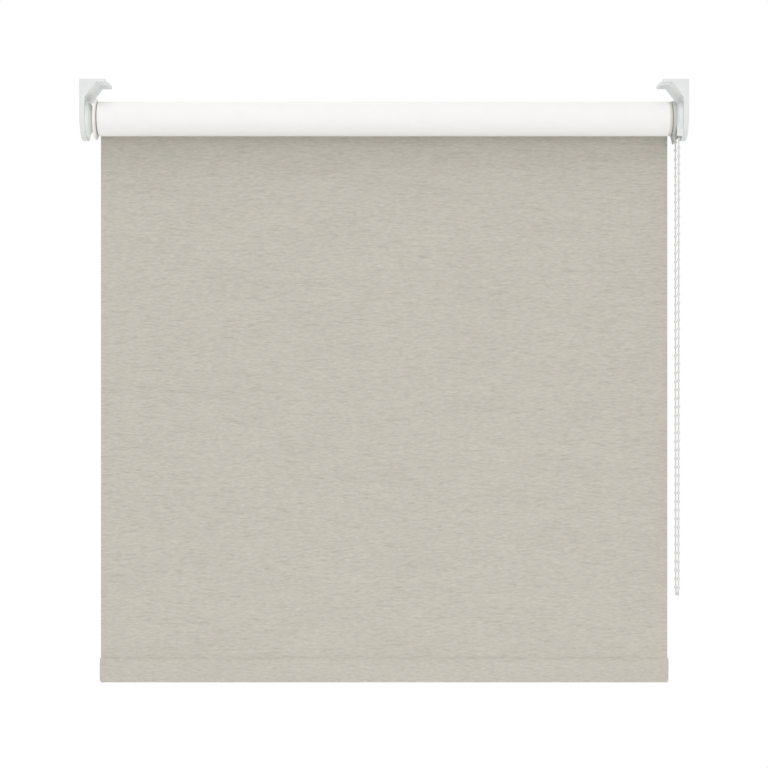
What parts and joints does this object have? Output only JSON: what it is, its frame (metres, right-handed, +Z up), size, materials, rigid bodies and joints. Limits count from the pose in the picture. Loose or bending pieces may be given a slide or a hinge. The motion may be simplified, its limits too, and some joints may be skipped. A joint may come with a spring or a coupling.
{
  "type": "roller blind",
  "caption": "Chain-operated roller blind with woven beige cloth on a tube, ceiling brackets, wrap-spring clutch, bead chain loop and a weighted hem.",
  "frame": {"origin": "midway between the two brackets on the ceiling plane, above the roller's axis", "axes": "+X along the roller towards the chain side, -Y towards the room, +Y towards the window, +Z up"},
  "size_m": [0.8448, 0.069, 0.844],
  "materials": {
    "bracket_plastic": "moulded light grey plastic, satin",
    "grey_plastic": "moulded mid grey plastic, satin",
    "cream_plastic": "moulded cream plastic",
    "white_nylon": "moulded white nylon",
    "steel": "bright zinc plated",
    "aluminium": "extruded, mill finish",
    "tape": "double-sided tape",
    "chain_plastic": "moulded pale grey beads on a cord",
    "cloth_face": "plain weave with horizontal slubs, beige",
    "cloth_lining": "smooth white coated reverse"
  },
  "bodies": {
    "root": {"left_bracket": "bracket_plastic", "right_bracket": "bracket_plastic", "idle_socket": "bracket_plastic", "clutch_core": "white_nylon", "core_cap": "white_nylon", "core_screw": "steel", "clutch_collar": "grey_plastic", "chain_guard": "bracket_plastic", "bead_chain": "chain_plastic"},
    "roller": {"roller_tube": "aluminium", "cloth_roll": "cloth_lining", "adhesive_strip": "tape", "idle_plug": "white_nylon", "guard_disc": "cream_plastic", "idle_spring": "steel", "drive_hub": "white_nylon", "chain_wheel": "grey_plastic", "wrap_spring_inner": "steel", "wrap_spring_outer": "steel"},
    "pin": {"idle_pin": "steel"},
    "hem": {"cloth_panel": "cloth_face", "hem_pocket": "cloth_face", "bottom_bar": "aluminium", "bar_cap_left": "grey_plastic", "bar_cap_right": "grey_plastic"}
  },
  "joints": [
    {"name": "roller_turn", "type": "hinge", "parent": "root", "child": "roller", "pos_m": [0, 0, -0.052], "axis": [1, 0, 0], "range_deg": [-2160, 1620]},
    {"name": "cloth_lift", "type": "slide", "parent": "root", "child": "hem", "axis": [0, 0, 1], "range_m": [-0.90479, 0.67859], "deforming": ["cloth_panel"]},
    {"name": "idle_pin_press", "type": "slide", "parent": "roller", "child": "pin", "axis": [1, 0, 0], "range_m": [0, 0.0065], "stiffness_N_per_m": 600, "springref_m": -0.004, "deforming": ["idle_spring"]}
  ],
  "couplings": [
    {"joint": "cloth_lift", "follows": "roller_turn", "m_per_rad": 0.024}
  ]
}
